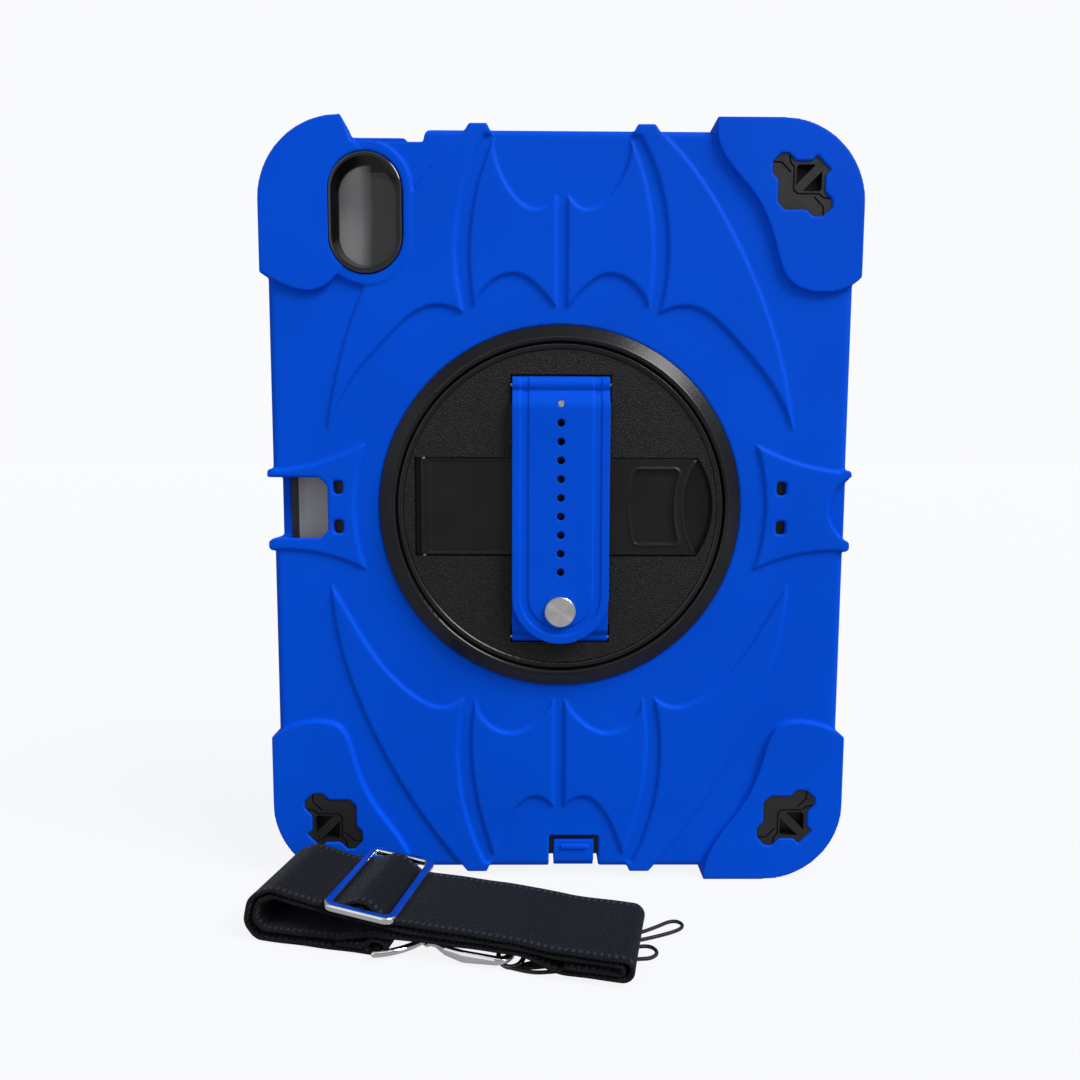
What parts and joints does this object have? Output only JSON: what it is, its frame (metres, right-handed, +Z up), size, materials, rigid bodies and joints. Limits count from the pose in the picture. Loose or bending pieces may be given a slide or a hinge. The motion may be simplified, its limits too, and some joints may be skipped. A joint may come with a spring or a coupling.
{
  "type": "tablet case",
  "caption": "Upright rugged tablet case in blue silicone over a hard shell, with a turning hand-strap disc, kickstand, USB flap and a folded shoulder strap.",
  "frame": {"origin": "Middle of the whole set's footprint (the case and the folded strap on the floor behind it), on the plane the case stands on.", "axes": "+Z up along the case's long side, -Y out of the case's back towards the strap, +Y out of the screen side, +X to the right seen from behind."},
  "size_m": [0.2338, 0.0909, 0.3037],
  "materials": {
    "black_cord": "thin braided cord",
    "black_gloss": "polished black plastic",
    "black_grained": "moulded plastic with a fine grain",
    "black_leather": "grained synthetic leather",
    "black_satin": "satin moulded plastic",
    "black_shell": "fine-textured polycarbonate",
    "black_webbing": "ribbed polyester webbing",
    "blue_silicone": "matte moulded silicone, royal blue",
    "brushed_steel": "turned face with circular brushing",
    "clear_film": "clear PET screen film",
    "polished_metal": "polished plated zinc",
    "steel": "plain steel",
    "washer_plastic": "smooth acetal"
  },
  "bodies": {
    "case": {"silicone_sleeve": "blue_silicone", "back_shell": "black_shell", "front_frame": "black_shell", "screen_film": "clear_film", "camera_ring": "black_gloss", "disc_bezel": "black_satin", "bezel_screws": "steel", "glide_washer": "washer_plastic"},
    "turntable": {"turntable": "black_satin", "leather_disc": "black_leather", "kickstand_pin": "steel", "upper_strap_bar": "steel", "lower_strap_bar": "steel", "strap_keeper": "blue_silicone"},
    "kickstand": {"kickstand": "black_grained"},
    "hand_strap": {"hand_strap_band": "blue_silicone", "strap_stud": "brushed_steel", "strap_rivet": "brushed_steel"},
    "usb_flap": {"usb_flap": "blue_silicone"},
    "volume_up": {"volume_up_button": "blue_silicone"},
    "volume_down": {"volume_down_button": "blue_silicone"},
    "shoulder_strap": {"shoulder_webbing": "black_webbing", "strap_slide": "polished_metal", "strap_d_ring": "polished_metal", "snap_hook": "polished_metal", "cord_link": "black_gloss", "cord_loop_back": "black_cord", "cord_loop_front": "black_cord"},
    "hook_gate": {"hook_gate": "polished_metal"}
  },
  "joints": [
    {"name": "disc_turn", "type": "hinge", "parent": "case", "child": "turntable", "pos_m": [0, 0.031, 0.154], "axis": [0, -1, 0], "continuous": true},
    {"name": "kickstand_hinge", "type": "hinge", "parent": "turntable", "child": "kickstand", "pos_m": [-0.054, 0.0297, 0.1546], "axis": [0, 0, -1], "range_deg": [0, 45]},
    {"name": "hand_strap_flip", "type": "hinge", "parent": "turntable", "child": "hand_strap", "pos_m": [0, 0.0294, 0.2024], "axis": [-1, 0, 0], "range_deg": [0, 108]},
    {"name": "usb_flap_hinge", "type": "hinge", "parent": "case", "child": "usb_flap", "pos_m": [0.0064, 0.0418, 0.0054], "axis": [1, 0, 0], "range_deg": [0, 90], "stiffness_Nm_per_rad": 0.002},
    {"name": "volume_up_press", "type": "slide", "parent": "case", "child": "volume_up", "axis": [1, 0, 0], "range_m": [0, 0.0006], "stiffness_N_per_m": 400},
    {"name": "volume_down_press", "type": "slide", "parent": "case", "child": "volume_down", "axis": [1, 0, 0], "range_m": [0, 0.0006], "stiffness_N_per_m": 400},
    {"name": "shoulder_strap_pull", "type": "slide", "parent": "case", "child": "shoulder_strap", "axis": [0, -1, 0], "range_m": [0, 0.15]},
    {"name": "hook_gate_hinge", "type": "hinge", "parent": "shoulder_strap", "child": "hook_gate", "pos_m": [-0.0404, -0.02173, 0.0033], "axis": [0, 0, -1], "range_deg": [0, 18], "stiffness_Nm_per_rad": 0.002}
  ],
  "couplings": [
    {"joint": "hand_strap_flip", "follows": "kickstand_hinge", "ratio": 2.4}
  ]
}
